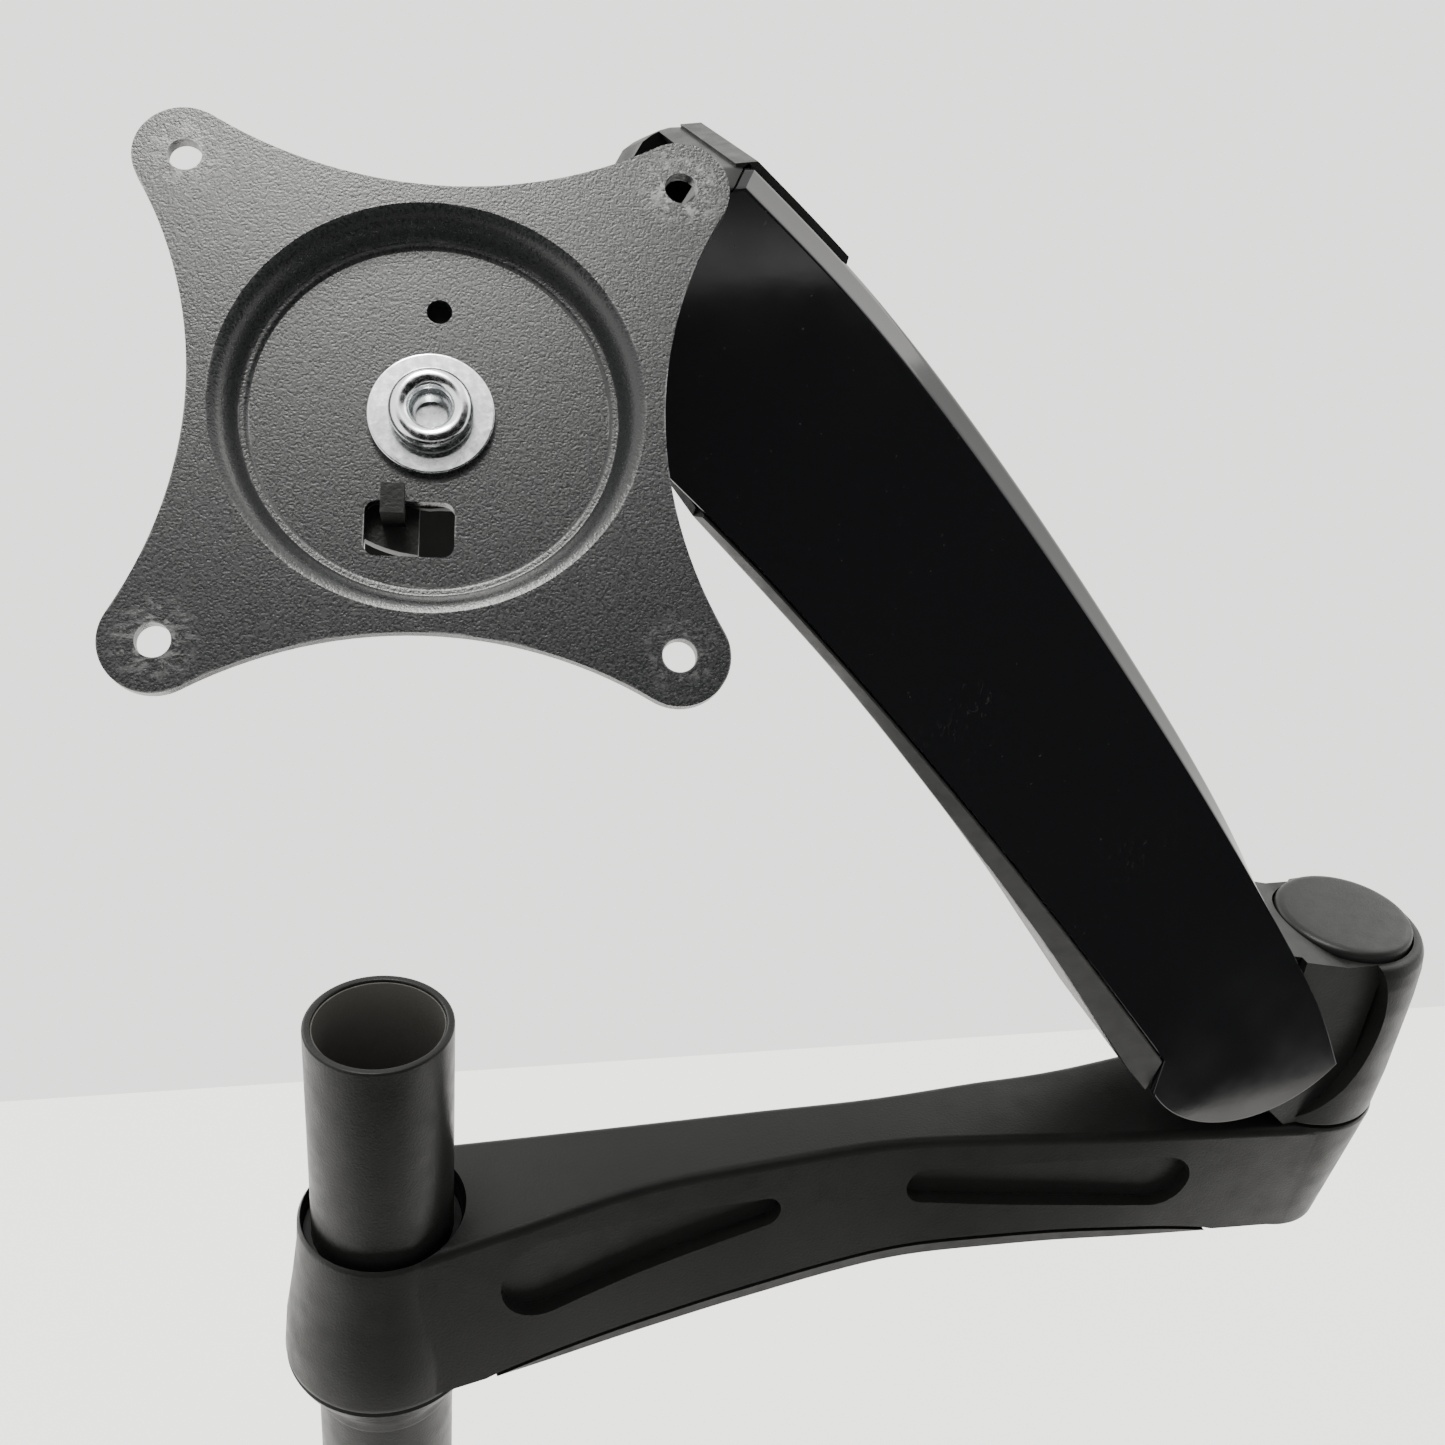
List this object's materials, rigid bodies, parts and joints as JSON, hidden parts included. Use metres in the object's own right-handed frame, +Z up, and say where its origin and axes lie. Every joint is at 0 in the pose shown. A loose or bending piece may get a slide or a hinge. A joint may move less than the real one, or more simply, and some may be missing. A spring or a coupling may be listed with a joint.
{
  "type": "monitor arm",
  "caption": "Desk-clamped monitor arm: a pole with a swivelling lower arm, a sprung upper arm that keeps its head level, and a tilting, rolling screen plate.",
  "frame": {"origin": "on the desk top, under the middle of the base plate, on the pole's axis", "axes": "+Z up along the pole; +Y away from the user, towards the desk's back edge; +X to the user's right"},
  "size_m": [0.3318, 0.1416, 0.6884],
  "materials": {
    "cast_paint": "satin black paint on die-cast alloy, faint orange peel",
    "frame_paint": "satin black paint on steel tube and sheet",
    "gloss_cover": "polished black plastic with fine scratches",
    "matte_cover": "fine moulded grain, dark grey",
    "plate_powder_coat": "fine wrinkle powder coat, scuffed round the screw holes",
    "zinc_plate": "bright zinc plate",
    "plain_steel": "drawn steel, lightly oiled",
    "nylon": "black nylon",
    "pad_rubber": "fine-textured black rubber"
  },
  "bodies": {
    "base": {"base_plate": "frame_paint", "desk_pad": "pad_rubber", "pole": "frame_paint", "pole_plug": "plain_steel", "pole_bolt": "zinc_plate", "clamp_bracket": "frame_paint", "bracket_screw_left": "zinc_plate", "bracket_screw_right": "zinc_plate", "jaw_nut": "zinc_plate"},
    "clamp_pad": {"clamp_pad": "matte_cover"},
    "clamp_screw": {"clamp_screw": "zinc_plate", "clamp_handle": "zinc_plate"},
    "collar": {"stop_collar": "cast_paint", "collar_screw": "plain_steel"},
    "lower_arm": {"lower_arm": "cast_paint", "upper_hub_bush": "nylon", "lower_hub_bush": "nylon", "bottom_cover": "matte_cover", "cover_screw_inner": "zinc_plate", "cover_screw_outer": "zinc_plate", "swivel_bush": "nylon", "thrust_washer": "nylon"},
    "knuckle": {"knuckle": "cast_paint", "knuckle_cap": "matte_cover", "swivel_shaft": "plain_steel", "swivel_nut": "zinc_plate", "hinge_pin": "plain_steel", "link_pin": "plain_steel"},
    "upper_arm": {"arm_channel": "plain_steel", "top_cover": "gloss_cover", "underside_cover": "matte_cover", "front_cap": "matte_cover", "strut_pin": "plain_steel", "front_pin": "plain_steel"},
    "level_link": {"level_link": "plain_steel"},
    "strut_cylinder": {"strut_cylinder": "frame_paint"},
    "strut_rod": {"strut_rod": "zinc_plate"},
    "head": {"head_block": "cast_paint", "head_link_pin": "plain_steel", "pan_bush": "nylon"},
    "yoke": {"pan_yoke": "frame_paint", "pan_bolt": "zinc_plate", "pan_nut": "zinc_plate", "pan_washer_top": "nylon", "pan_washer_bottom": "nylon"},
    "bracket": {"tilt_bracket": "frame_paint", "tilt_bolt": "zinc_plate", "tilt_nut": "zinc_plate", "tilt_washer": "zinc_plate", "roll_disc": "nylon"},
    "plate": {"screen_plate": "plate_powder_coat", "plate_washer": "zinc_plate", "plate_rivet": "zinc_plate", "back_washer": "zinc_plate"}
  },
  "joints": [
    {"name": "clamp_travel", "type": "slide", "parent": "base", "child": "clamp_pad", "axis": [0, 0, 1], "range_m": [-0.018, 0.02]},
    {"name": "clamp_turn", "type": "hinge", "parent": "clamp_pad", "child": "clamp_screw", "pos_m": [0, 0, 0], "axis": [0, 0, 1], "range_deg": [-3600, 3700]},
    {"name": "collar_height", "type": "slide", "parent": "base", "child": "collar", "axis": [0, 0, 1], "range_m": [-0.11, 0.04]},
    {"name": "lower_arm_swivel", "type": "hinge", "parent": "collar", "child": "lower_arm", "pos_m": [0, 0, 0.3], "axis": [0, 0, 1], "range_deg": [-180, 180]},
    {"name": "elbow_swivel", "type": "hinge", "parent": "lower_arm", "child": "knuckle", "pos_m": [0.26399, 0.02421, 0.3], "axis": [0, 0, 1], "range_deg": [-175, 175]},
    {"name": "arm_lift", "type": "hinge", "parent": "knuckle", "child": "upper_arm", "pos_m": [0.22819, 0.02045, 0.343], "axis": [-0.1045, 0.9945, 0], "range_deg": [-30, 0]},
    {"name": "link_swing", "type": "hinge", "parent": "knuckle", "child": "level_link", "pos_m": [0.22222, 0.01982, 0.328], "axis": [-0.1045, 0.9945, 0], "range_deg": [-30.5, 0.5]},
    {"name": "head_level", "type": "hinge", "parent": "upper_arm", "child": "head", "pos_m": [0.06515, 0.00331, 0.52507], "axis": [-0.1045, 0.9945, 0], "range_deg": [-0.5, 30.5]},
    {"name": "strut_swing", "type": "hinge", "parent": "upper_arm", "child": "strut_cylinder", "pos_m": [0.11284, 0.00833, 0.46733], "axis": [-0.1045, 0.9945, 0], "range_deg": [-0.2, 1.2]},
    {"name": "strut_stroke", "type": "slide", "parent": "strut_cylinder", "child": "strut_rod", "axis": [-0.6162, -0.0648, 0.7849], "range_m": [-0.001, 0.009]},
    {"name": "head_pan", "type": "hinge", "parent": "head", "child": "yoke", "pos_m": [0.01473, -0.00199, 0.50667], "axis": [0, 0, 1], "range_deg": [-163, 5]},
    {"name": "plate_tilt", "type": "hinge", "parent": "yoke", "child": "bracket", "pos_m": [0.01187, -0.03366, 0.50667], "axis": [-0.996, 0.0898, 0], "range_deg": [-86, 2]},
    {"name": "plate_roll", "type": "hinge", "parent": "bracket", "child": "plate", "pos_m": [0.00943, -0.06076, 0.53024], "axis": [-0.0678, -0.7528, 0.6547], "range_deg": [-20, 4]}
  ],
  "couplings": [
    {"joint": "clamp_turn", "follows": "clamp_travel", "rad_per_m": 3141.6},
    {"joint": "link_swing", "follows": "arm_lift", "ratio": 1},
    {"joint": "head_level", "follows": "arm_lift", "ratio": -1},
    {"joint": "strut_swing", "follows": "arm_lift", "ratio": -0.0292},
    {"joint": "strut_stroke", "follows": "arm_lift", "m_per_rad": -0.01518}
  ]
}
